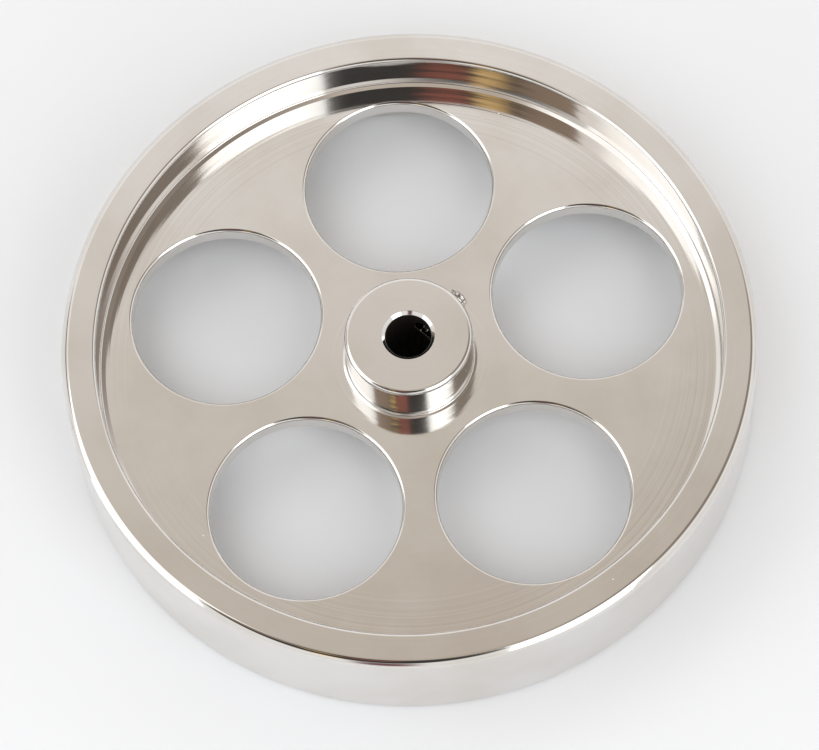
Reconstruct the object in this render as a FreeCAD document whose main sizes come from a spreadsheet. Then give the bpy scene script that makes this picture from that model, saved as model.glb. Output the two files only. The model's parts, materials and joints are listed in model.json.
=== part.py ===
"""Five-hole flywheel: rim, web disc, hub and a radial set screw.

The wheel lies flat with its axis on +Z.  The origin is on the axis, at the height of the rim's lower face,
so the wheel stands on the XY plane.  The first web hole is on +Y.  All lengths are millimetres.
"""

import FreeCAD
import Part
import math
import os

import Sketcher
from FreeCAD import Placement, Rotation, Vector

# Driving dimensions: name, value, meaning.
DIMENSIONS = [
    ("rim_diameter", 120.0, "outer diameter of the rim"),
    ("rim_width", 21.0, "height of the rim along the axis"),
    ("rim_wall", 6.0, "radial thickness of the rim"),
    ("rim_outer_chamfer", 0.9, "chamfer on the rim's outer edges"),
    ("rim_inner_chamfer", 0.4, "chamfer on the rim's inner edges"),
    ("rim_ramp", 0.9, "width of the shallow ramp from the web up to the rim's wall"),
    ("hub_ramp", 0.6, "width of the shallow ramp from the web up to the hub's wall"),
    ("ramp_slope", 0.25, "rise of a ramp for each millimetre of its width"),
    ("root_radius", 0.3, "concave radius where a ramp meets a wall"),
    ("seat_land", 0.6, "flat between a ramp and the web disc's seat"),
    ("web_recess", 8.25, "depth of the web's upper face below the rim's"),
    ("web_thickness", 3.5, "thickness of the web"),
    ("hole_count", 5, "number of lightening holes"),
    ("hole_circle", 66.5, "diameter of the circle through the hole centres"),
    ("hole_diameter", 33.0, "diameter of each lightening hole"),
    ("hole_chamfer", 0.4, "chamfer on both edges of each hole"),
    ("hub_diameter", 22.2, "outer diameter of the hub"),
    ("hub_height", 22.0, "height of the hub, a little more than the rim's"),
    ("hub_edge_radius", 0.8, "rounded outer edges of the hub"),
    ("bore_diameter", 8.0, "through bore for the shaft"),
    ("bore_chamfer", 0.6, "chamfer at both ends of the bore"),
    ("screw_diameter", 4.0, "diameter of the set screw's hole"),
    ("screw_gap", 0.05, "radial gap between the set screw and its hole"),
    ("screw_length", 6.0, "length of the set screw"),
    ("screw_stand_out", 1.8, "how far the set screw stands out of the hub"),
    ("screw_height", 17.4, "height of the set screw's axis"),
    ("screw_angle", 43.0, "direction of the set screw, in degrees from +X"),
    ("screw_chamfer", 0.45, "chamfer on both ends of the set screw"),
    ("screw_mouth", 0.35, "chamfer at the outer end of the set screw's hole"),
    ("cup_radius", 1.0, "radius of the cup in the set screw's point"),
    ("cup_depth", 0.6, "depth of the cup in the set screw's point"),
    ("socket_width", 2.0, "hexagon socket, across the flats"),
    ("socket_depth", 2.2, "hexagon socket, depth"),
]

# Places that follow from the driving dimensions, as expressions on the sheet.
RIM_RADIUS = "Dimensions.rim_diameter / 2"
RIM_INSIDE = "Dimensions.rim_diameter / 2 - Dimensions.rim_wall"
RIM_TOP = "Dimensions.rim_width"
WEB_TOP = "Dimensions.rim_width - Dimensions.web_recess"
WEB_LOW = WEB_TOP + " - Dimensions.web_thickness"
RIM_RAMP = RIM_INSIDE + " - Dimensions.rim_ramp"
RIM_SEAT = RIM_RAMP + " - Dimensions.seat_land"
RIM_ROOT_LOW = WEB_LOW + " - Dimensions.rim_ramp * Dimensions.ramp_slope"
RIM_ROOT_TOP = WEB_TOP + " + Dimensions.rim_ramp * Dimensions.ramp_slope"
HOLE_CENTRE = "Dimensions.hole_circle / 2"
HOLE_WALL = HOLE_CENTRE + " + Dimensions.hole_diameter / 2"
HOLE_EDGE = HOLE_WALL + " + Dimensions.hole_chamfer"
HUB_RADIUS = "Dimensions.hub_diameter / 2"
HUB_RAMP = HUB_RADIUS + " + Dimensions.hub_ramp"
HUB_SEAT = HUB_RAMP + " + Dimensions.seat_land"
HUB_ROOT_LOW = WEB_LOW + " - Dimensions.hub_ramp * Dimensions.ramp_slope"
HUB_ROOT_TOP = WEB_TOP + " + Dimensions.hub_ramp * Dimensions.ramp_slope"
HUB_TOP = "Dimensions.hub_height"
BORE_RADIUS = "Dimensions.bore_diameter / 2"
SCREW_HOLE_TOP = "Dimensions.screw_height + Dimensions.screw_diameter / 2"
SCREW_RADIUS = "Dimensions.screw_diameter / 2 - Dimensions.screw_gap"
SCREW_END_RADIUS = SCREW_RADIUS + " - Dimensions.screw_chamfer"
SCREW_POINT = HUB_RADIUS + " + Dimensions.screw_stand_out - Dimensions.screw_length"

TOLERANCE = 1e-6
FULL_TURN = 360
QUARTER_TURN = 90
HEXAGON_SIDES = 6


def make_sheet(doc):
    """Write the driving dimensions on the sheet, one row each, with their names as aliases."""
    sheet = doc.addObject("Spreadsheet::Sheet", "Dimensions")
    for row, (name, value, meaning) in enumerate(DIMENSIONS, start=1):
        sheet.set(f"A{row}", name)
        sheet.set(f"B{row}", str(value))
        sheet.set(f"C{row}", meaning)
        sheet.setAlias(f"B{row}", name)
    doc.recompute()


def value_of(owner, expression):
    """The number that an expression gives now."""
    return float(owner.evalExpression(expression))


def datum(body, role):
    """The body's own origin plane or axis with this role."""
    return next(item for item in body.Origin.OriginFeatures if item.Role == role)


def new_body(doc, label):
    """An empty body for one sub-part."""
    body = doc.addObject("PartDesign::Body", label)
    body.Label = label
    return body


def new_sketch(body, name, plane_role):
    """An empty sketch on one of the body's own planes."""
    sketch = body.newObject("Sketcher::SketchObject", name)
    sketch.AttachmentSupport = [(datum(body, plane_role), "")]
    sketch.MapMode = "FlatFace"
    return sketch


def bind(sketch, constraint, name, expression):
    """Add a named constraint and tie its value to the sheet."""
    index = sketch.addConstraint(constraint)
    sketch.renameConstraint(index, name)
    sketch.setExpression(f"Constraints.{name}", expression)


def pin_coordinate(sketch, line, name, direction, expression):
    """Hold one coordinate of a line's first point, measured from the sketch's origin."""
    if expression == "0":
        other_axis = {"DistanceX": -2, "DistanceY": -1}[direction]
        sketch.addConstraint(Sketcher.Constraint("PointOnObject", line, 1, other_axis))
        return
    distance = value_of(sketch, expression)
    bind(sketch, Sketcher.Constraint(direction, -1, 1, line, 1, distance), name, expression)


def outline(sketch, corners):
    """Draw a closed outline of straight lines whose corners are pairs of expressions."""
    points = [Vector(value_of(sketch, across), value_of(sketch, up), 0) for across, up in corners]
    count = len(points)
    for i in range(count):
        sketch.addGeometry(Part.LineSegment(points[i], points[(i + 1) % count]), False)
    for i in range(count):
        sketch.addConstraint(Sketcher.Constraint("Coincident", i, 2, (i + 1) % count, 1))
    for i, (across, up) in enumerate(corners):
        pin_coordinate(sketch, i, f"across_{i}", "DistanceX", across)
        pin_coordinate(sketch, i, f"up_{i}", "DistanceY", up)


def revolve(body, name, corners):
    """Turn an outline, given as radius and height, about the body's Z axis."""
    sketch = new_sketch(body, name + "_outline", "XZ_Plane")
    outline(sketch, corners)
    feature = body.newObject("PartDesign::Revolution", name)
    feature.Profile = sketch
    feature.ReferenceAxis = (datum(body, "Z_Axis"), [""])
    feature.Angle = FULL_TURN
    body.Document.recompute()
    return feature


def circles(feature, radius, heights):
    """The names of a feature's round edges with this radius, at these heights."""
    names = []
    for number, edge in enumerate(feature.Shape.Edges, start=1):
        if not isinstance(edge.Curve, Part.Circle):
            continue
        same_radius = abs(edge.Curve.Radius - value_of(feature, radius)) < TOLERANCE
        level = any(abs(edge.Curve.Center.z - value_of(feature, at)) < TOLERANCE for at in heights)
        if same_radius and level:
            names.append(f"Edge{number}")
    return names


def dress(body, kind, name, base, edges, expression):
    """Chamfer or fillet some edges of a feature, with the size tied to the sheet."""
    feature = body.newObject("PartDesign::" + kind, name)
    feature.Base = (base, edges)
    feature.setExpression({"Chamfer": "Size", "Fillet": "Radius"}[kind], expression)
    body.Document.recompute()
    return feature


def groove(body, name, sketch, reference_axis):
    """Cut a full turn of a sketch out of the body, and make sure that something is cut."""
    before = body.Shape.Volume
    feature = body.newObject("PartDesign::Groove", name)
    feature.Profile = sketch
    feature.ReferenceAxis = reference_axis
    feature.Angle = FULL_TURN
    body.Document.recompute()
    if body.Shape.Volume > before - TOLERANCE:
        raise RuntimeError(name + " cuts nothing")
    return feature


def centre_line(sketch, start, end):
    """A construction line between two corners, to turn the outline about."""
    points = [Vector(value_of(sketch, across), value_of(sketch, up), 0) for across, up in (start, end)]
    line = sketch.addGeometry(Part.LineSegment(*points), True)
    pin_coordinate(sketch, line, "centre_across", "DistanceX", start[0])
    pin_coordinate(sketch, line, "centre_up", "DistanceY", start[1])
    side = "Horizontal" if start[1] == end[1] else "Vertical"
    sketch.addConstraint(Sketcher.Constraint(side, line))


def make_rim(doc):
    """The heavy ring, with the short inner flange that carries the web disc."""
    body = new_body(doc, "rim")
    ring = revolve(body, "Ring", [
        (RIM_SEAT, WEB_LOW),
        (RIM_RAMP, WEB_LOW),
        (RIM_INSIDE, RIM_ROOT_LOW),
        (RIM_INSIDE, "0"),
        (RIM_RADIUS, "0"),
        (RIM_RADIUS, RIM_TOP),
        (RIM_INSIDE, RIM_TOP),
        (RIM_INSIDE, RIM_ROOT_TOP),
        (RIM_RAMP, WEB_TOP),
        (RIM_SEAT, WEB_TOP),
    ])
    outer_edges = circles(ring, RIM_RADIUS, ["0", RIM_TOP])
    outer = dress(body, "Chamfer", "OuterChamfer", ring, outer_edges, "Dimensions.rim_outer_chamfer")
    inner_edges = circles(outer, RIM_INSIDE, ["0", RIM_TOP])
    inner = dress(body, "Chamfer", "InnerChamfer", outer, inner_edges, "Dimensions.rim_inner_chamfer")
    roots = circles(inner, RIM_INSIDE, [RIM_ROOT_LOW, RIM_ROOT_TOP])
    dress(body, "Fillet", "Root", inner, roots, "Dimensions.root_radius")
    return body


def make_web_disc(doc):
    """The flat disc between hub and rim, with its ring of chamfered round holes."""
    body = new_body(doc, "web_disc")
    disc = revolve(body, "Disc", [
        (HUB_SEAT, WEB_LOW),
        (RIM_SEAT, WEB_LOW),
        (RIM_SEAT, WEB_TOP),
        (HUB_SEAT, WEB_TOP),
    ])
    cutter = new_sketch(body, "Hole_outline", "YZ_Plane")
    outline(cutter, [
        (HOLE_CENTRE, WEB_LOW),
        (HOLE_EDGE, WEB_LOW),
        (HOLE_WALL, WEB_LOW + " + Dimensions.hole_chamfer"),
        (HOLE_WALL, WEB_TOP + " - Dimensions.hole_chamfer"),
        (HOLE_EDGE, WEB_TOP),
        (HOLE_CENTRE, WEB_TOP),
    ])
    centre_line(cutter, (HOLE_CENTRE, WEB_LOW), (HOLE_CENTRE, WEB_TOP))
    hole = groove(body, "Hole", cutter, (cutter, ["Axis0"]))
    pattern = body.newObject("PartDesign::PolarPattern", "HoleRing")
    pattern.Originals = [hole]
    pattern.Axis = (datum(body, "Z_Axis"), [""])
    pattern.Angle = FULL_TURN
    pattern.setExpression("Occurrences", "Dimensions.hole_count")
    body.Tip = pattern
    doc.recompute()
    one_hole = disc.Shape.Volume - hole.Shape.Volume
    all_holes = disc.Shape.Volume - body.Shape.Volume
    if round(all_holes / one_hole) != round(value_of(body, "Dimensions.hole_count")):
        raise RuntimeError("the ring of holes is incomplete")
    return body


def make_hub(doc):
    """The boss with its through bore and the radial hole for the set screw.

    The body is drawn with that hole along its own X axis, and then turned to the set screw's angle.
    """
    body = new_body(doc, "hub")
    boss = revolve(body, "Boss", [
        (BORE_RADIUS, "0"),
        (HUB_RADIUS, "0"),
        (HUB_RADIUS, HUB_ROOT_LOW),
        (HUB_RAMP, WEB_LOW),
        (HUB_SEAT, WEB_LOW),
        (HUB_SEAT, WEB_TOP),
        (HUB_RAMP, WEB_TOP),
        (HUB_RADIUS, HUB_ROOT_TOP),
        (HUB_RADIUS, HUB_TOP),
        (BORE_RADIUS, HUB_TOP),
    ])
    roots = circles(boss, HUB_RADIUS, [HUB_ROOT_LOW, HUB_ROOT_TOP])
    root = dress(body, "Fillet", "Root", boss, roots, "Dimensions.root_radius")
    rims = circles(root, HUB_RADIUS, ["0", HUB_TOP])
    edge = dress(body, "Fillet", "Edge", root, rims, "Dimensions.hub_edge_radius")
    mouths = circles(edge, BORE_RADIUS, ["0", HUB_TOP])
    dress(body, "Chamfer", "BoreChamfer", edge, mouths, "Dimensions.bore_chamfer")
    cutter = new_sketch(body, "ScrewHole_outline", "XZ_Plane")
    beyond = HUB_RADIUS + " + Dimensions.hub_edge_radius"
    outline(cutter, [
        ("0", "Dimensions.screw_height"),
        (beyond, "Dimensions.screw_height"),
        (beyond, SCREW_HOLE_TOP + " + Dimensions.screw_mouth + Dimensions.hub_edge_radius"),
        (HUB_RADIUS + " - Dimensions.screw_mouth", SCREW_HOLE_TOP),
        ("0", SCREW_HOLE_TOP),
    ])
    centre_line(cutter, ("0", "Dimensions.screw_height"), (beyond, "Dimensions.screw_height"))
    groove(body, "ScrewHole", cutter, (cutter, ["Axis0"]))
    angle = value_of(body, "Dimensions.screw_angle")
    body.Placement = Placement(Vector(0, 0, 0), Rotation(Vector(0, 0, 1), angle))
    return body


def hexagon(sketch):
    """A regular hexagon about the sketch's origin, one corner on its X axis."""
    corner_radius = "Dimensions.socket_width / sqrt(3)"
    radius = value_of(sketch, corner_radius)
    corners = []
    for k in range(HEXAGON_SIDES):
        angle = 2 * math.pi * k / HEXAGON_SIDES
        corners.append(Vector(radius * math.cos(angle), radius * math.sin(angle), 0))
    for k in range(HEXAGON_SIDES):
        sketch.addGeometry(Part.LineSegment(corners[k], corners[(k + 1) % HEXAGON_SIDES]), False)
    circle = sketch.addGeometry(Part.Circle(Vector(0, 0, 0), Vector(0, 0, 1), radius), True)
    sketch.addConstraint(Sketcher.Constraint("Coincident", circle, 3, -1, 1))
    bind(sketch, Sketcher.Constraint("Radius", circle, radius), "corner_radius", corner_radius)
    for k in range(HEXAGON_SIDES):
        sketch.addConstraint(Sketcher.Constraint("Coincident", k, 2, (k + 1) % HEXAGON_SIDES, 1))
        sketch.addConstraint(Sketcher.Constraint("PointOnObject", k, 1, circle))
    for k in range(1, HEXAGON_SIDES):
        sketch.addConstraint(Sketcher.Constraint("Equal", 0, k))
    sketch.addConstraint(Sketcher.Constraint("PointOnObject", 0, 1, -1))


def make_set_screw(doc):
    """The headless screw: cup point at the bottom, hexagon socket at the top, then laid in its hole."""
    body = new_body(doc, "set_screw")
    length = "Dimensions.screw_length"
    shank = revolve(body, "Shank", [
        ("0", "Dimensions.cup_depth"),
        ("Dimensions.cup_radius", "0"),
        (SCREW_END_RADIUS, "0"),
        (SCREW_RADIUS, "Dimensions.screw_chamfer"),
        (SCREW_RADIUS, length + " - Dimensions.screw_chamfer"),
        (SCREW_END_RADIUS, length),
        ("0", length),
    ])
    sketch = new_sketch(body, "Socket_outline", "XY_Plane")
    sketch.setExpression("AttachmentOffset.Base.z", length)
    hexagon(sketch)
    socket = body.newObject("PartDesign::Pocket", "Socket")
    socket.Profile = sketch
    socket.setExpression("Length", "Dimensions.socket_depth")
    doc.recompute()
    if body.Shape.Volume > shank.Shape.Volume - TOLERANCE:
        raise RuntimeError("the socket cuts nothing")
    angle = value_of(body, "Dimensions.screw_angle")
    outwards = Rotation(Vector(0, 0, 1), angle) * Rotation(Vector(0, 1, 0), QUARTER_TURN)
    start = Rotation(Vector(0, 0, 1), angle) * Vector(value_of(body, SCREW_POINT), 0, 0)
    start.z = value_of(body, "Dimensions.screw_height")
    body.Placement = Placement(start, outwards)
    return body


def check(doc, bodies):
    """Stop if anything in the document failed, or a sub-part isn't one valid solid."""
    for item in doc.Objects:
        if "Invalid" in item.State or "Error" in item.State:
            raise RuntimeError(f"{item.Label} failed: {item.State}")
    for body in bodies:
        shape = body.Shape
        if shape.isNull() or not shape.isValid() or len(shape.Solids) != 1:
            raise RuntimeError(body.Label + " isn't one valid solid")


def main():
    doc = FreeCAD.newDocument("Flywheel")
    make_sheet(doc)
    bodies = [make_rim(doc), make_web_disc(doc), make_hub(doc), make_set_screw(doc)]
    doc.recompute()
    check(doc, bodies)
    os.makedirs("parts", exist_ok=True)
    for body in bodies:
        body.Shape.exportStep(os.path.join("parts", body.Label + ".step"))
        box = body.Shape.BoundBox
        print(f"{body.Label}: {body.Shape.Volume:.1f} mm3, {box}")


main()
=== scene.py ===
"""The looks of the five-hole flywheel: bright nickel on turned surfaces, and a threaded steel set screw.

The wheel's pieces are turned from a half section about an axis, as the real ones are, and the set screw is
built up in rings.  Lengths are metres, and a size written in millimetres is multiplied by MM.
"""

import json
import math

import bmesh
import bpy
import numpy as np
from mathutils import Matrix, Vector


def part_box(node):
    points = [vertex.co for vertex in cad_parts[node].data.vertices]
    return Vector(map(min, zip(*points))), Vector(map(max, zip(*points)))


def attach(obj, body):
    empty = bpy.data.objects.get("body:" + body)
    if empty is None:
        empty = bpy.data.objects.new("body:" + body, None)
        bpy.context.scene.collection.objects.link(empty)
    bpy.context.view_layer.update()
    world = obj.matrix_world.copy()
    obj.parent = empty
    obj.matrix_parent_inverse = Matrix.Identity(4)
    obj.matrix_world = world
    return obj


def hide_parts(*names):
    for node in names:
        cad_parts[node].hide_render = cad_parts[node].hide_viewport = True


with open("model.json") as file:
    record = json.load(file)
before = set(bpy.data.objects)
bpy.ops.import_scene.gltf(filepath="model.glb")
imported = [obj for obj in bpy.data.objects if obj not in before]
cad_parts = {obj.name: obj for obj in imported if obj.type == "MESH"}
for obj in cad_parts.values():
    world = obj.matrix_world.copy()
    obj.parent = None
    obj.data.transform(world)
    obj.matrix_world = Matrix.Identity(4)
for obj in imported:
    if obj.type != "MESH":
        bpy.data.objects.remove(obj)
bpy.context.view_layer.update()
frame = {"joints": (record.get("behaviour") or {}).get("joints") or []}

MM = 0.001

# Sizes read from the CAD model.
rim_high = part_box("rim")[1]
web_low, web_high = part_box("web_disc")
hub_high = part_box("hub")[1]
screw_low, screw_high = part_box("set_screw")
RIM_RADIUS = rim_high.x
RIM_TOP = rim_high.z
SEAT_RADIUS = web_high.x
WEB_LOW = web_low.z
WEB_TOP = web_high.z
FLANGE_RADIUS = hub_high.x
HUB_TOP = hub_high.z
SCREW_HEIGHT = (screw_low.z + screw_high.z) / 2
SCREW_AXIS = Vector(frame["joints"][0]["axis"]).normalized()

# The smaller sizes, the same as in the CAD model.
RIM_WALL = 6.0 * MM
RIM_OUTER_CHAMFER = 0.9 * MM
RIM_INNER_CHAMFER = 0.4 * MM
RIM_RAMP = 0.9 * MM
HUB_RAMP = 0.6 * MM
RAMP_SLOPE = 0.25
ROOT_RADIUS = 0.3 * MM
HOLE_COUNT = 5
HOLE_CIRCLE_RADIUS = 33.25 * MM
HOLE_RADIUS = 16.5 * MM
HUB_RADIUS = 11.1 * MM
HUB_EDGE_RADIUS = 0.8 * MM
BORE_RADIUS = 4.0 * MM
BORE_CHAMFER = 0.6 * MM
SCREW_HOLE_RADIUS = 2.0 * MM
SCREW_MOUTH = 0.35 * MM
SCREW_RADIUS = 1.95 * MM
SCREW_LENGTH = 6.0 * MM
SCREW_STAND_OUT = 1.8 * MM
SCREW_CHAMFER = 0.45 * MM
THREAD_PITCH = 0.7 * MM
THREAD_DEPTH = 0.4 * MM
CUP_RADIUS = 1.0 * MM
CUP_DEPTH = 0.6 * MM
SOCKET_WIDTH = 2.0 * MM
SOCKET_DEPTH = 2.2 * MM
SOCKET_MOUTH = 0.12 * MM

# How finely round things are divided.
WHEEL_STEPS = 720
HUB_STEPS = 360
HOLE_STEPS = 240
SCREW_STEPS = 96
SCREW_ROWS = 90
ARC_STEP = math.radians(9)

# How far polishing and plating have rounded the corners: sharp ones, the rim's chamfers, the holes' edges.
EDGE = 0.06 * MM
OUTER_ROUND = 1.2 * MM
INNER_ROUND = 0.6 * MM
HOLE_ROUND = 0.7 * MM
HOLE_LIP = 0.15 * MM        # depth at which a hole's rounded edge starts to open out
LIP_SLOPE = 0.27            # how steeply the lip rises as it opens out
MARGIN = 1.0 * MM           # how far a cutter reaches past what it cuts
WELD_DISTANCE = 0.0001 * MM
SHARP_ANGLE = math.radians(35)


# ---------------------------------------------------------------- turned shapes

class Section:
    """The half section of a turned shape: straight stretches, each with the surface normal at its two ends.

    Corners are (radius, height, rounding), counterclockwise.  A rounded corner becomes an arc of short steps.
    """

    def __init__(self, corners):
        places = [Vector(corner[:2]) for corner in corners]
        after = places[1:] + places[:1]
        along = [(end - start).normalized() for start, end in zip(places, after)]
        outward = [Vector((d.y, -d.x)) for d in along]
        turns = []
        for i, place in enumerate(places):
            turns.append(self.corner(place, along[i - 1], outward[i - 1], outward[i], corners[i][2]))
        stretches = []
        for arc, arc_after in zip(turns, turns[1:] + turns[:1]):
            stretches += list(zip(arc, arc[1:]))
            stretches.append((arc[-1], arc_after[0]))
        stretches = [(a, b) for a, b in stretches if (a[0] - b[0]).length > 0]
        self.start = np.array([a[0] for a, b in stretches])
        self.end = np.array([b[0] for a, b in stretches])
        self.start_normal = np.array([a[1] for a, b in stretches])
        self.end_normal = np.array([b[1] for a, b in stretches])

    def corner(self, place, along, before, after, rounding):
        """The (point, normal) pairs that take the outline round one corner."""
        if rounding == 0:
            return [(place, before), (place, after)]
        turn = math.atan2(before.x * after.y - before.y * after.x, before.dot(after))
        radius = math.copysign(rounding, turn)
        centre = place - along * rounding * math.tan(abs(turn) / 2) - before * radius
        steps = max(2, math.ceil(abs(turn) / ARC_STEP))
        pairs = []
        for k in range(steps + 1):
            normal = Matrix.Rotation(turn * k / steps, 2) @ before
            pairs.append((centre + normal * radius, normal))
        return pairs

    def shares(self, points, picks):
        """How far along the picked stretches the points lie, from 0 to 1."""
        start, along = self.start[picks], self.end[picks] - self.start[picks]
        return np.clip(((points - start) * along).sum(-1) / (along ** 2).sum(-1), 0, 1)[..., None]

    def nearest(self, points):
        """The nearest stretch to each point, and how far away it is."""
        every = np.arange(len(self.start))[None, :]
        share = self.shares(points[:, None, :], every)
        foot = self.start[every] * (1 - share) + self.end[every] * share
        distance = np.linalg.norm(points[:, None, :] - foot, axis=-1)
        return distance.argmin(1), distance.min(1)

    def normals(self, points, picks):
        share = self.shares(points, picks)
        normal = self.start_normal[picks] * (1 - share) + self.end_normal[picks] * share
        return normal / np.linalg.norm(normal, axis=-1, keepdims=True)


class Turning:
    """A section turned about the Z axis of a placement.  A hollow one is cut out of another piece."""

    def __init__(self, corners, steps, place=Matrix.Identity(4), hollow=False):
        self.section = Section(corners)
        self.steps = steps
        self.place = place
        self.side = -1 if hollow else 1

    def mesh(self):
        count = len(self.section.start)
        vertices, faces = [], []
        for k in range(self.steps):
            angle = 2 * math.pi * k / self.steps
            there = (k + 1) % self.steps * count
            for i, (radius, height) in enumerate(self.section.start):
                vertices.append((radius * math.cos(angle), radius * math.sin(angle), height))
                after = (i + 1) % count
                faces.append((k * count + i, there + i, there + after, k * count + after))
        mesh = bpy.data.meshes.new("turned")
        mesh.from_pydata(vertices, [], faces)
        weld(mesh)
        mesh.transform(self.place)
        return mesh

    def flat(self, points):
        """Points of the row frame as (radius, height) in the section's plane, and their angles."""
        back = np.array(self.place.inverted())
        local = points @ back[:3, :3].T + back[:3, 3]
        flat = np.stack([np.hypot(local[:, 0], local[:, 1]), local[:, 2]], 1)
        return flat, np.arctan2(local[:, 1], local[:, 0])

    def normals(self, points, picks):
        flat, angle = self.flat(points)
        normal = self.section.normals(flat, picks) * self.side
        local = np.stack([normal[:, 0] * np.cos(angle), normal[:, 0] * np.sin(angle), normal[:, 1]], 1)
        return local @ np.array(self.place)[:3, :3].T


def weld(mesh):
    shape = bmesh.new()
    shape.from_mesh(mesh)
    bmesh.ops.remove_doubles(shape, verts=shape.verts, dist=WELD_DISTANCE)
    shape.to_mesh(mesh)
    shape.free()


def add_object(name, mesh):
    piece = bpy.data.objects.new(name, mesh)
    bpy.context.scene.collection.objects.link(piece)
    return piece


def turned_piece(name, body, hollows=()):
    """A piece turned to one section, less the hollows, with the exact normals of the turned surfaces."""
    piece = add_object(name, body.mesh())
    cutters = [add_object("cutter", hollow.mesh()) for hollow in hollows]
    for cutter in cutters:
        modifier = piece.modifiers.new("cut", "BOOLEAN")
        modifier.operation = "DIFFERENCE"
        modifier.solver = "EXACT"
        modifier.object = cutter
    finished = piece.evaluated_get(bpy.context.evaluated_depsgraph_get())
    piece.data = bpy.data.meshes.new_from_object(finished)
    piece.modifiers.clear()
    for cutter in cutters:
        bpy.data.objects.remove(cutter)
    smooth(piece.data, [body, *hollows])
    return piece


def smooth(mesh, turnings):
    """Give each face corner the normal of the turned surface that its face lies on."""
    centres = np.array([polygon.center for polygon in mesh.polygons])
    points = np.array([vertex.co for vertex in mesh.vertices])
    owners = np.repeat(np.arange(len(centres)), [polygon.loop_total for polygon in mesh.polygons])
    corners = points[[loop.vertex_index for loop in mesh.loops]]
    closest = np.full(len(centres), np.inf)
    normals = np.zeros_like(corners)
    for turning in turnings:
        picks, distances = turning.section.nearest(turning.flat(centres)[0])
        mine = (distances < closest)[owners]
        closest = np.minimum(closest, distances)
        normals[mine] = turning.normals(corners[mine], picks[owners[mine]])
    for polygon in mesh.polygons:
        polygon.use_smooth = True
    mesh.normals_split_custom_set(normals)


# ---------------------------------------------------------------- the wheel

def make_rim():
    inside = RIM_RADIUS - RIM_WALL
    inner = RIM_INNER_CHAMFER
    outer = RIM_OUTER_CHAMFER
    return turned_piece("rim_turned", Turning([
        (inside + inner, 0, INNER_ROUND),
        (RIM_RADIUS - outer, 0, OUTER_ROUND),
        (RIM_RADIUS, outer, OUTER_ROUND),
        (RIM_RADIUS, RIM_TOP - outer, OUTER_ROUND),
        (RIM_RADIUS - outer, RIM_TOP, OUTER_ROUND),
        (inside + inner, RIM_TOP, INNER_ROUND),
        (inside, RIM_TOP - inner, INNER_ROUND),
        (inside, WEB_TOP + RIM_RAMP * RAMP_SLOPE, ROOT_RADIUS),
        (inside - RIM_RAMP, WEB_TOP, EDGE),
        (SEAT_RADIUS, WEB_TOP, 0),
        (SEAT_RADIUS, WEB_LOW, 0),
        (inside - RIM_RAMP, WEB_LOW, EDGE),
        (inside, WEB_LOW - RIM_RAMP * RAMP_SLOPE, ROOT_RADIUS),
        (inside, inner, INNER_ROUND),
    ], WHEEL_STEPS))


def web_hole(number):
    """The hollow that leaves one lightening hole, with its edges rounded above and below."""
    turn = Matrix.Rotation(2 * math.pi * number / HOLE_COUNT, 4, "Z")
    flare = HOLE_RADIUS + (HOLE_LIP + MARGIN) / LIP_SLOPE
    return Turning([
        (0, WEB_LOW - MARGIN, 0),
        (flare, WEB_LOW - MARGIN, 0),
        (HOLE_RADIUS, WEB_LOW + HOLE_LIP, HOLE_ROUND),
        (HOLE_RADIUS, WEB_TOP - HOLE_LIP, HOLE_ROUND),
        (flare, WEB_TOP + MARGIN, 0),
        (0, WEB_TOP + MARGIN, 0),
    ], HOLE_STEPS, turn @ Matrix.Translation((0, HOLE_CIRCLE_RADIUS, 0)), hollow=True)


def make_web():
    disc = Turning([
        (FLANGE_RADIUS, WEB_LOW, 0),
        (SEAT_RADIUS, WEB_LOW, 0),
        (SEAT_RADIUS, WEB_TOP, 0),
        (FLANGE_RADIUS, WEB_TOP, 0),
    ], WHEEL_STEPS)
    return turned_piece("web_turned", disc, [web_hole(number) for number in range(HOLE_COUNT)])


def along_screw(distance):
    """A placement on the set screw's axis, that far from the wheel's axis, with Z pointing outwards."""
    turn = SCREW_AXIS.to_track_quat("Z", "Y").to_matrix().to_4x4()
    return Matrix.Translation(SCREW_AXIS * distance + Vector((0, 0, SCREW_HEIGHT))) @ turn


def make_hub():
    body = Turning([
        (BORE_RADIUS + BORE_CHAMFER, 0, EDGE),
        (HUB_RADIUS, 0, HUB_EDGE_RADIUS),
        (HUB_RADIUS, WEB_LOW - HUB_RAMP * RAMP_SLOPE, ROOT_RADIUS),
        (HUB_RADIUS + HUB_RAMP, WEB_LOW, EDGE),
        (FLANGE_RADIUS, WEB_LOW, 0),
        (FLANGE_RADIUS, WEB_TOP, 0),
        (HUB_RADIUS + HUB_RAMP, WEB_TOP, EDGE),
        (HUB_RADIUS, WEB_TOP + HUB_RAMP * RAMP_SLOPE, ROOT_RADIUS),
        (HUB_RADIUS, HUB_TOP, HUB_EDGE_RADIUS),
        (BORE_RADIUS + BORE_CHAMFER, HUB_TOP, EDGE),
        (BORE_RADIUS, HUB_TOP - BORE_CHAMFER, EDGE),
        (BORE_RADIUS, BORE_CHAMFER, EDGE),
    ], HUB_STEPS)
    cross_hole = Turning([
        (0, BORE_RADIUS - MARGIN, 0),
        (SCREW_HOLE_RADIUS, BORE_RADIUS - MARGIN, 0),
        (SCREW_HOLE_RADIUS, HUB_RADIUS - SCREW_MOUTH, EDGE),
        (SCREW_HOLE_RADIUS + SCREW_MOUTH + MARGIN, HUB_RADIUS + MARGIN, 0),
        (0, HUB_RADIUS + MARGIN, 0),
    ], SCREW_STEPS, along_screw(0), hollow=True)
    return turned_piece("hub_turned", body, [cross_hole])


# ---------------------------------------------------------------- the set screw

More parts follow.
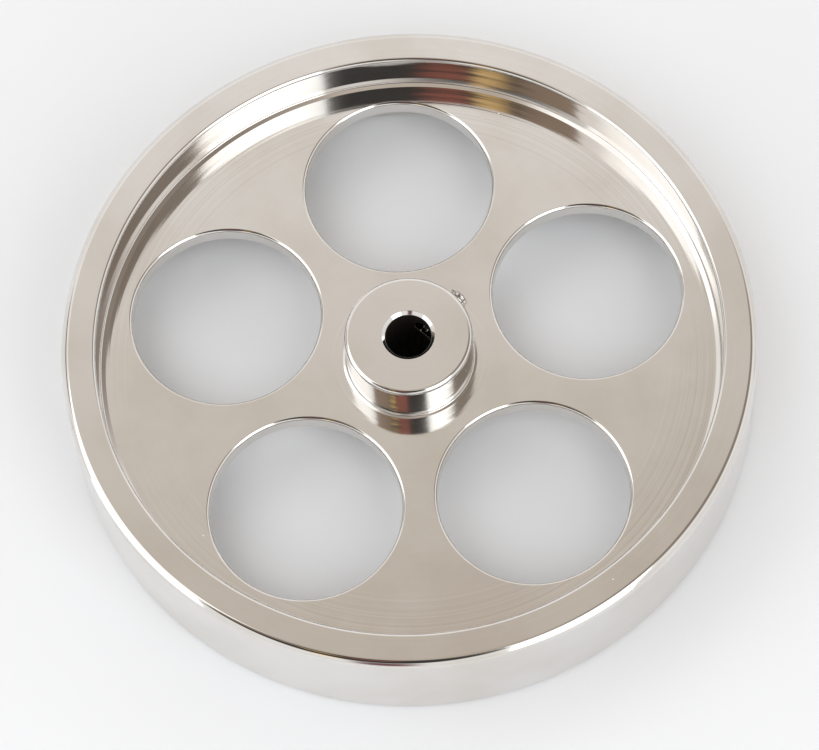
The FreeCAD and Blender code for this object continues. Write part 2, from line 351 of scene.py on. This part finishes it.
def thread_radius(angle, height):
    """A right-hand V thread, cut down by a chamfer at each end."""
    phase = (height / THREAD_PITCH - angle / (2 * math.pi)) % 1
    crest = SCREW_RADIUS - THREAD_DEPTH * (1 - abs(2 * phase - 1))
    from_end = min(height, SCREW_LENGTH - height)
    return min(crest, SCREW_RADIUS - SCREW_CHAMFER + from_end)


def hexagon_radius(angle):
    from_flat = angle % (math.pi / 3) - math.pi / 6
    return SOCKET_WIDTH / 2 / math.cos(from_flat)


def make_screw():
    """Rings of points from the cup point to the socket's bottom, joined by faces."""
    angles = [2 * math.pi * k / SCREW_STEPS for k in range(SCREW_STEPS)]
    mouth = hexagon_radius(0) + SOCKET_MOUTH
    rings = [([CUP_RADIUS] * SCREW_STEPS, 0)]
    for row in range(SCREW_ROWS + 1):
        height = SCREW_LENGTH * row / SCREW_ROWS
        rings.append(([thread_radius(angle, height) for angle in angles], height))
    rings.append(([mouth] * SCREW_STEPS, SCREW_LENGTH))
    for height in (SCREW_LENGTH - SOCKET_MOUTH, SCREW_LENGTH - SOCKET_DEPTH):
        rings.append(([hexagon_radius(angle) for angle in angles], height))
    vertices = []
    for radii, height in rings:
        for radius, angle in zip(radii, angles):
            vertices.append((radius * math.cos(angle), radius * math.sin(angle), height))
    vertices.append((0, 0, CUP_DEPTH))
    vertices.append((0, 0, SCREW_LENGTH - SOCKET_DEPTH - SOCKET_WIDTH / 4))
    cup, drill_point = len(vertices) - 2, len(vertices) - 1
    last = (len(rings) - 1) * SCREW_STEPS
    faces = []
    for k in range(SCREW_STEPS):
        after = (k + 1) % SCREW_STEPS
        faces.append((cup, after, k))
        faces.append((drill_point, last + k, last + after))
        for ring in range(len(rings) - 1):
            low, high = ring * SCREW_STEPS, (ring + 1) * SCREW_STEPS
            faces.append((low + k, low + after, high + after, high + k))
    mesh = bpy.data.meshes.new("set_screw_threaded")
    mesh.from_pydata(vertices, [], faces)
    mesh.transform(along_screw(HUB_RADIUS + SCREW_STAND_OUT - SCREW_LENGTH))
    for polygon in mesh.polygons:
        polygon.use_smooth = True
    mesh.set_sharp_from_angle(angle=SHARP_ANGLE)
    return add_object("set_screw_threaded", mesh)


# ---------------------------------------------------------------- materials

class Nodes:
    """Short calls for filling a node tree."""

    def __init__(self, tree):
        self.tree = tree

    def add(self, kind, inputs, output=0, **settings):
        """Make a node, set it up, and return one of its outputs."""
        node = self.tree.nodes.new("ShaderNode" + kind)
        for key, value in settings.items():
            setattr(node, key, value)
        self.join(node, inputs)
        return node.outputs[output]

    def join(self, node, inputs):
        for key, value in inputs.items():
            if isinstance(value, bpy.types.NodeSocket):
                self.tree.links.new(value, node.inputs[key])
            else:
                node.inputs[key].default_value = value

    def math(self, operation, first, second=0.0):
        return self.add("Math", {0: first, 1: second}, operation=operation)

    def ramp(self, value, start, end, low=0.0, high=1.0):
        """A smooth step from low to high as value goes from start to end."""
        inputs = {"Value": value, "From Min": start, "From Max": end, "To Min": low, "To Max": high}
        return self.add("MapRange", inputs, interpolation_type="SMOOTHSTEP")

    def noise(self, place, scale, detail):
        return self.add("TexNoise", {"Vector": place, "Scale": scale, "Detail": detail})

    def lines(self, place, scale):
        """Noise along one coordinate, which makes rings or bands."""
        return self.add("TexNoise", {"W": place, "Scale": scale, "Detail": 1.0}, noise_dimensions="1D")

    def mix(self, share, first, second):
        """A colour from first to second as share goes from 0 to 1."""
        return self.add("Mix", {0: share, 6: first, 7: second}, output=2, data_type="RGBA")

    def product(self, first, second):
        return self.math("MULTIPLY", first, second)

    def total(self, first, second):
        return self.math("ADD", first, second)


def new_material(name):
    material = bpy.data.materials.new(name)
    material.use_nodes = True
    return material, Nodes(material.node_tree), material.node_tree.nodes["Principled BSDF"]


# Turning rings lie on the web in a band beside the rim's wall and in a band beside the hub.  Each edge of a
# band goes from the radius where the rings are absent to the radius where they are full.
WALL_BAND_INNER_EDGE = (43.0 * MM, 46.5 * MM)
WALL_BAND_OUTER_EDGE = (52.8 * MM, 52.2 * MM)
HUB_BAND_INNER_EDGE = (10.4 * MM, 10.9 * MM)
HUB_BAND_OUTER_EDGE = (15.5 * MM, 12.0 * MM)

# The grooves, stains, patches and grain are noise, and their scale is in noise cells to the metre.  Heights
# are in GROOVE_DEPTHs, first where the metal is plain and then in a band of rings.
GROOVE_DEPTH = 0.003 * MM
GROOVE_SLANT = 0.8          # lets the rings run down upright walls as well
FINE_GROOVES = 7000
FINE_HEIGHTS = (0.1, 0.7)
COARSE_GROOVES = 1100
COARSE_HEIGHTS = (0.5, 3.5)

STAINS = 60
STAIN_TINT_SPAN = (0.35, 0.7)       # the stretch of the noise over which the colour changes
STAIN_POLISH_SPAN = (0.3, 0.75)     # the same for the roughness
CLEAN_NICKEL = (0.79, 0.77, 0.745, 1)
STAINED_NICKEL = (0.725, 0.695, 0.655, 1)
NICKEL_ROUGHNESS = (0.06, 0.11)
HUB_BAND_ROUGHNESS = 0.04           # added beside the hub
DULL_ROUGHNESS = 0.5                # added in the bore and on dust
# Painted shade in the bore: its wall is coloured near black, not metallic and rougher, where the hollow lies
# in shadow. BORE_SHADE_EDGE is the width over which the painted shade fades out towards the bore's chamfer.
BORE_SHADE = (0.012, 0.008, 0.007, 1)
BORE_SHADE_EDGE = 0.1 * MM

DUST_CELLS = 320
DUST_SIZE = 0.055           # a dot's radius, as a share of its cell
DUST_CORE = 0.6             # the solid part of that radius
DUST_SHARE = 0.1            # how many cells hold a dot
DUST_HEIGHT = 12.0
DUST_COLOUR = (0.8, 0.78, 0.74, 1)

STEEL_PATCHES = 900
STEEL_GRAIN = 3000
STEEL_GRAIN_DEPTH = 0.002 * MM
STEEL_POLISH_SPAN = (0.3, 0.7)
STEEL_ROUGHNESS = (0.12, 0.18)
DARK_STEEL = (0.64, 0.61, 0.58, 1)
LIGHT_STEEL = (0.72, 0.69, 0.66, 1)

FLOOR_PATCHES = 14
FLOOR_COLOURS = ((0.875, 0.88, 0.89, 1), (0.835, 0.84, 0.85, 1))
FLOOR_ROUGHNESS = 0.9
FLOOR_SPECULAR = 0.2


def specks(nodes, place):
    """1 on small scattered dots, 0 elsewhere: a share of the cells of a random grid hold a dot."""
    cell = {"Vector": place, "Scale": DUST_CELLS}
    distance = nodes.add("TexVoronoi", cell)
    chance = nodes.add("SeparateColor", {0: nodes.add("TexVoronoi", cell, output="Color")})
    dot = nodes.ramp(distance, DUST_SIZE, DUST_SIZE * DUST_CORE)
    return nodes.product(dot, nodes.math("LESS_THAN", chance, DUST_SHARE))


def band(nodes, radius, inner_edge, outer_edge):
    """1 between two radii, 0 beyond them, with a soft step at each edge."""
    return nodes.product(nodes.ramp(radius, *inner_edge), nodes.ramp(radius, *outer_edge))


def nickel():
    """Bright plate on turned metal, with rings, faint stains and a little dust, and painted shade in the
    bore.
    """
    material, nodes, shader = new_material("bright_nickel")
    place = nodes.add("TexCoord", {}, output="Object")
    split = nodes.tree.nodes.new("ShaderNodeSeparateXYZ")
    nodes.join(split, {0: place})
    x, y, z = split.outputs
    radius = nodes.math("SQRT", nodes.total(nodes.product(x, x), nodes.product(y, y)))
    across = nodes.total(radius, nodes.product(z, GROOVE_SLANT))

    beside_wall = band(nodes, radius, WALL_BAND_INNER_EDGE, WALL_BAND_OUTER_EDGE)
    beside_hub = band(nodes, radius, HUB_BAND_INNER_EDGE, HUB_BAND_OUTER_EDGE)
    ringed = nodes.math("MAXIMUM", beside_wall, beside_hub)
    fine = nodes.product(nodes.lines(across, FINE_GROOVES), nodes.ramp(ringed, 0, 1, *FINE_HEIGHTS))
    coarse = nodes.product(nodes.lines(across, COARSE_GROOVES), nodes.ramp(ringed, 0, 1, *COARSE_HEIGHTS))
    dust = specks(nodes, place)
    height = nodes.total(nodes.total(fine, coarse), nodes.product(dust, DUST_HEIGHT))
    bump = nodes.add("Bump", {"Strength": 1.0, "Distance": GROOVE_DEPTH, "Height": height})

    stains = nodes.noise(place, STAINS, detail=6)
    plate = nodes.mix(nodes.ramp(stains, *STAIN_TINT_SPAN), CLEAN_NICKEL, STAINED_NICKEL)
    # Painted shade: the bore's wall is near black, not metallic and rougher. The painted shade fades out over
    # BORE_SHADE_EDGE.
    bore_shade_mask = nodes.ramp(radius, BORE_RADIUS + BORE_SHADE_EDGE, BORE_RADIUS)
    metal = nodes.mix(bore_shade_mask, plate, BORE_SHADE)
    dust_and_bore_shade = nodes.math("MAXIMUM", dust, bore_shade_mask)
    polish = nodes.ramp(stains, *STAIN_POLISH_SPAN, *NICKEL_ROUGHNESS)
    polish = nodes.total(polish, nodes.product(beside_hub, HUB_BAND_ROUGHNESS))
    nodes.join(shader, {
        "Base Color": nodes.mix(dust, metal, DUST_COLOUR),
        "Metallic": nodes.math("SUBTRACT", 1.0, dust_and_bore_shade),
        "Roughness": nodes.total(polish, nodes.product(dust_and_bore_shade, DULL_ROUGHNESS)),
        "Normal": bump,
    })
    return material


def screw_steel():
    """Plain machined steel with a fine grain."""
    material, nodes, shader = new_material("screw_steel")
    place = nodes.add("TexCoord", {}, output="Object")
    patches = nodes.noise(place, STEEL_PATCHES, detail=3)
    grain = nodes.noise(place, STEEL_GRAIN, detail=2)
    bump = nodes.add("Bump", {"Strength": 1.0, "Distance": STEEL_GRAIN_DEPTH, "Height": grain})
    nodes.join(shader, {
        "Base Color": nodes.mix(patches, DARK_STEEL, LIGHT_STEEL),
        "Metallic": 1.0,
        "Roughness": nodes.ramp(patches, *STEEL_POLISH_SPAN, *STEEL_ROUGHNESS),
        "Normal": bump,
    })
    return material


def pale_floor():
    """A plain matt surface, very slightly uneven in tone."""
    material, nodes, shader = new_material("pale_floor")
    place = nodes.add("TexCoord", {}, output="Object")
    patches = nodes.noise(place, FLOOR_PATCHES, detail=3)
    nodes.join(shader, {
        "Base Color": nodes.mix(patches, *FLOOR_COLOURS),
        "Roughness": FLOOR_ROUGHNESS,
        "Specular IOR Level": FLOOR_SPECULAR,
    })
    return material


# ---------------------------------------------------------------- light, floor and camera

LIGHT_TINT = (0.90, 0.95, 1.0)

# The room's brightness changes with the height of the direction looked in: 0 is level, 1 is straight up.
WALLS_TOP = 0.75
WALLS_LOW_COLOUR = (0.88, 0.865, 0.85, 1)
WALLS_HIGH_COLOUR = (1.0, 0.98, 0.96, 1)
CEILING_START = 0.83
CEILING_FULL = 0.965
CEILING_COLOUR = (0.58, 0.515, 0.445, 1)

# Round patches in the room, each on top of those before it: azimuth, elevation, inner and outer radius in
# degrees, and colour.  The first is a dim far corner, the second the dark shape of the photographer.
ROOM_PATCHES = [
    (22, 62, 12, 26, (0.30, 0.255, 0.22, 1)),
    (246, 57, 20, 31, (0.055, 0.053, 0.052, 1)),
    (150, 31, 5, 12, (0.25, 0.23, 0.22, 1)),
    (208, 64, 5, 10, (0.33, 0.25, 0.19, 1)),
    (250, 65, 2, 6, (0.36, 0.13, 0.10, 1)),
    (234, 63, 1, 4, (0.95, 0.66, 0.30, 1)),
    (259, 22, 2, 10, (0.20, 0.10, 0.11, 1)),
    (244, 31, 1, 5, (1.5, 1.0, 0.5, 1)),
]

FLOOR_SIZE = 6.0
FLOOR_GAP = 0.05 * MM       # keeps the floor clear of the face that the wheel rests on

CAMERA_LENS = 170.5
CAMERA_AZIMUTH = -88.88
CAMERA_ELEVATION = 66.05
CAMERA_ROLL = 5.05
CAMERA_DISTANCE = 0.667
CAMERA_DROP = 0.00649
CAMERA_SIDESTEP = 0.00019


def direction(azimuth, elevation):
    """A unit vector.  Azimuth 0 is along +X, and the angles are degrees."""
    flat = math.cos(math.radians(elevation))
    turn = math.radians(azimuth)
    return Vector((flat * math.cos(turn), flat * math.sin(turn), math.sin(math.radians(elevation))))


def softbox(name, low, high, width, radiance):
    """A leaning rectangular light that faces the wheel.  low and high place the middles of its lower and
    upper edges: azimuth, elevation and distance from the wheel."""
    bottom = direction(*low[:2]) * low[2]
    top = direction(*high[:2]) * high[2]
    middle = (bottom + top) / 2
    rise = (top - bottom).normalized()
    facing = (middle - rise * middle.dot(rise)).normalized()
    across = rise.cross(facing)
    light = bpy.data.lights.new(name, "AREA")
    light.shape = "RECTANGLE"
    light.size = width
    light.size_y = (top - bottom).length
    light.energy = radiance * math.pi * light.size * light.size_y
    light.color = LIGHT_TINT
    lamp = add_object(name, light)
    lamp.matrix_world = Matrix.Translation(middle) @ Matrix((across, rise, facing)).transposed().to_4x4()
    lamp.visible_camera = False
    return lamp


def cone(nodes, toward, azimuth, elevation, inner, outer):
    """1 where the world is within inner degrees of a direction, 0 beyond outer degrees."""
    both = {0: toward, 1: direction(azimuth, elevation)}
    closeness = nodes.add("VectorMath", both, output="Value", operation="DOT_PRODUCT")
    return nodes.ramp(closeness, math.cos(math.radians(outer)), math.cos(math.radians(inner)))


def make_world():
    """A warm pale room, dimmer low down and overhead, with the patches on it."""
    world = bpy.data.worlds.new("room")
    bpy.context.scene.world = world
    world.use_nodes = True
    nodes = Nodes(world.node_tree)
    toward = nodes.add("TexCoord", {}, output="Generated")
    up = nodes.add("SeparateXYZ", {0: toward}, output="Z")
    room = nodes.mix(nodes.ramp(up, 0, WALLS_TOP), WALLS_LOW_COLOUR, WALLS_HIGH_COLOUR)
    room = nodes.mix(nodes.ramp(up, CEILING_START, CEILING_FULL), room, CEILING_COLOUR)
    for azimuth, elevation, inner, outer, colour in ROOM_PATCHES:
        room = nodes.mix(cone(nodes, toward, azimuth, elevation, inner, outer), room, colour)
    nodes.join(world.node_tree.nodes["Background"], {"Color": room})


def make_floor():
    bpy.ops.mesh.primitive_plane_add(size=FLOOR_SIZE, location=(0, 0, -FLOOR_GAP))
    floor = bpy.context.object
    floor.name = "floor"
    floor.data.materials.append(pale_floor())


def make_camera():
    camera = bpy.data.cameras.new("camera")
    camera.lens = CAMERA_LENS
    camera.clip_start = 10 * MM
    back = direction(CAMERA_AZIMUTH, CAMERA_ELEVATION)
    right = Vector((0, 0, 1)).cross(back).normalized()
    roll = Matrix.Rotation(math.radians(-CAMERA_ROLL), 3, back)
    right = roll @ right
    up = back.cross(right)
    place = Vector((0, 0, RIM_TOP)) + back * CAMERA_DISTANCE - up * CAMERA_DROP + right * CAMERA_SIDESTEP
    eye = add_object("camera", camera)
    eye.matrix_world = Matrix.Translation(place) @ Matrix((right, up, back)).transposed().to_4x4()
    bpy.context.scene.camera = eye


# ---------------------------------------------------------------- the scene

bright = nickel()
for make, node in ((make_rim, "rim"), (make_web, "web_disc"), (make_hub, "hub")):
    piece = make()
    piece.data.materials.clear()
    piece.data.materials.append(bright)
    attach(piece, "wheel")
    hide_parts(node)

screw = make_screw()
screw.data.materials.append(screw_steel())
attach(screw, "set_screw")
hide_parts("set_screw")

make_floor()
make_world()
softbox("left_light", low=(199, 5.5, 1.0), high=(134, 70.5, 1.8), width=0.65, radiance=0.85)
softbox("right_light", low=(303, 11.5, 1.0), high=(328, 71, 1.6), width=0.53, radiance=1.5)
floor_light = softbox("floor_light", low=(240, 42, 1.1), high=(240, 78, 1.2), width=0.6, radiance=2.0)
floor_light.visible_glossy = False      # it brightens the floor, and the metal does not mirror it
make_camera()
bpy.context.scene.view_settings.view_transform = "Standard"
